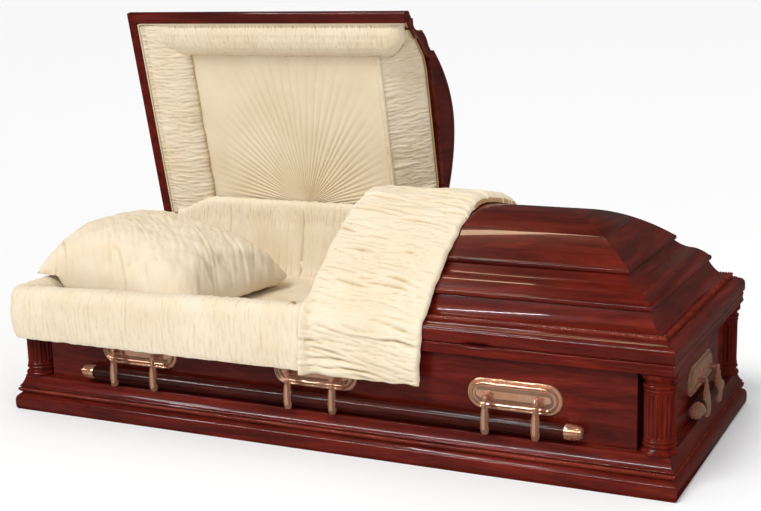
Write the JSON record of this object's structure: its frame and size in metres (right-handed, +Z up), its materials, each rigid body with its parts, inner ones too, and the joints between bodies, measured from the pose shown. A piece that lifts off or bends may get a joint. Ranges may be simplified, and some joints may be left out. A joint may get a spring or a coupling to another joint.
{
  "type": "funeral casket",
  "caption": "Half-couch hardwood casket with a carved body, fluted columns, stepped hinged lids, shirred cloth lining, pillow, throw and swing-bar handles.",
  "frame": {"origin": "middle of the flat underside, on the surface the casket stands on", "axes": "+X along the length to the foot end, -Y out of the front side, +Z up"},
  "size_m": [2.121, 1.0773, 1.1955],
  "materials": {
    "cherry_wood": "polished dark cherry, high gloss",
    "inner_wood": "plain, hidden",
    "bar_wood": "polished dark wood bar with copper tips",
    "copper": "polished antique copper plate",
    "crepe_cloth": "cream crepe, shirred and tufted"
  },
  "bodies": {
    "body": {"base_moulding": "cherry_wood", "front_panel": "cherry_wood", "back_panel": "cherry_wood", "foot_panel": "cherry_wood", "head_panel": "cherry_wood", "front_head_column": "cherry_wood", "front_foot_column": "cherry_wood", "rear_head_column": "cherry_wood", "rear_foot_column": "cherry_wood", "body_rim": "cherry_wood", "bottom_board": "inner_wood", "head_hinge": "copper", "foot_hinge": "copper", "side_lining": "crepe_cloth", "bed": "crepe_cloth", "pillow": "crepe_cloth", "collar": "crepe_cloth", "apron": "crepe_cloth", "front_handle_plate_1": "copper", "front_handle_plate_2": "copper", "front_handle_plate_3": "copper", "back_handle_plate_1": "copper", "back_handle_plate_2": "copper", "back_handle_plate_3": "copper", "foot_handle_plate": "copper", "head_handle_plate": "copper"},
    "head_lid": {"head_lid_rim": "cherry_wood", "head_lid_tier": "cherry_wood", "head_lid_crown": "cherry_wood", "head_lid_header": "inner_wood", "lid_sunburst_panel": "crepe_cloth", "lid_front_roll": "crepe_cloth", "lid_hinge_roll": "crepe_cloth", "lid_head_roll": "crepe_cloth", "lid_split_band": "crepe_cloth"},
    "foot_lid": {"foot_lid_rim": "cherry_wood", "foot_lid_tier": "cherry_wood", "foot_lid_crown": "cherry_wood", "foot_lid_header": "inner_wood", "throw": "crepe_cloth"},
    "front_handle": {"front_handle_bar": "bar_wood", "front_handle_arm_1_left": "copper", "front_handle_arm_1_right": "copper", "front_handle_arm_2_left": "copper", "front_handle_arm_2_right": "copper", "front_handle_arm_3_left": "copper", "front_handle_arm_3_right": "copper"},
    "back_handle": {"back_handle_bar": "bar_wood", "back_handle_arm_1_left": "copper", "back_handle_arm_1_right": "copper", "back_handle_arm_2_left": "copper", "back_handle_arm_2_right": "copper", "back_handle_arm_3_left": "copper", "back_handle_arm_3_right": "copper"},
    "foot_handle": {"foot_handle_bar": "bar_wood", "foot_handle_arm_left": "copper", "foot_handle_arm_right": "copper"},
    "head_handle": {"head_handle_bar": "bar_wood", "head_handle_arm_left": "copper", "head_handle_arm_right": "copper"}
  },
  "joints": [
    {"name": "head_lid_hinge", "type": "hinge", "parent": "body", "child": "head_lid", "pos_m": [0, 0.426, 0.366], "axis": [1, 0, 0], "range_deg": [0, 78.5], "deforming": ["collar", "pillow", "apron"]},
    {"name": "foot_lid_hinge", "type": "hinge", "parent": "body", "child": "foot_lid", "pos_m": [0, 0.426, 0.366], "axis": [-1, 0, 0], "range_deg": [0, 78.5]},
    {"name": "front_handle_swing", "type": "hinge", "parent": "body", "child": "front_handle", "pos_m": [0, -0.418, 0.215], "axis": [-1, 0, 0], "range_deg": [0, 90]},
    {"name": "back_handle_swing", "type": "hinge", "parent": "body", "child": "back_handle", "pos_m": [0, 0.418, 0.215], "axis": [1, 0, 0], "range_deg": [0, 90]},
    {"name": "foot_handle_swing", "type": "hinge", "parent": "body", "child": "foot_handle", "pos_m": [1.038, 0, 0.215], "axis": [0, -1, 0], "range_deg": [0, 90]},
    {"name": "head_handle_swing", "type": "hinge", "parent": "body", "child": "head_handle", "pos_m": [-1.038, 0, 0.215], "axis": [0, 1, 0], "range_deg": [0, 90]}
  ]
}
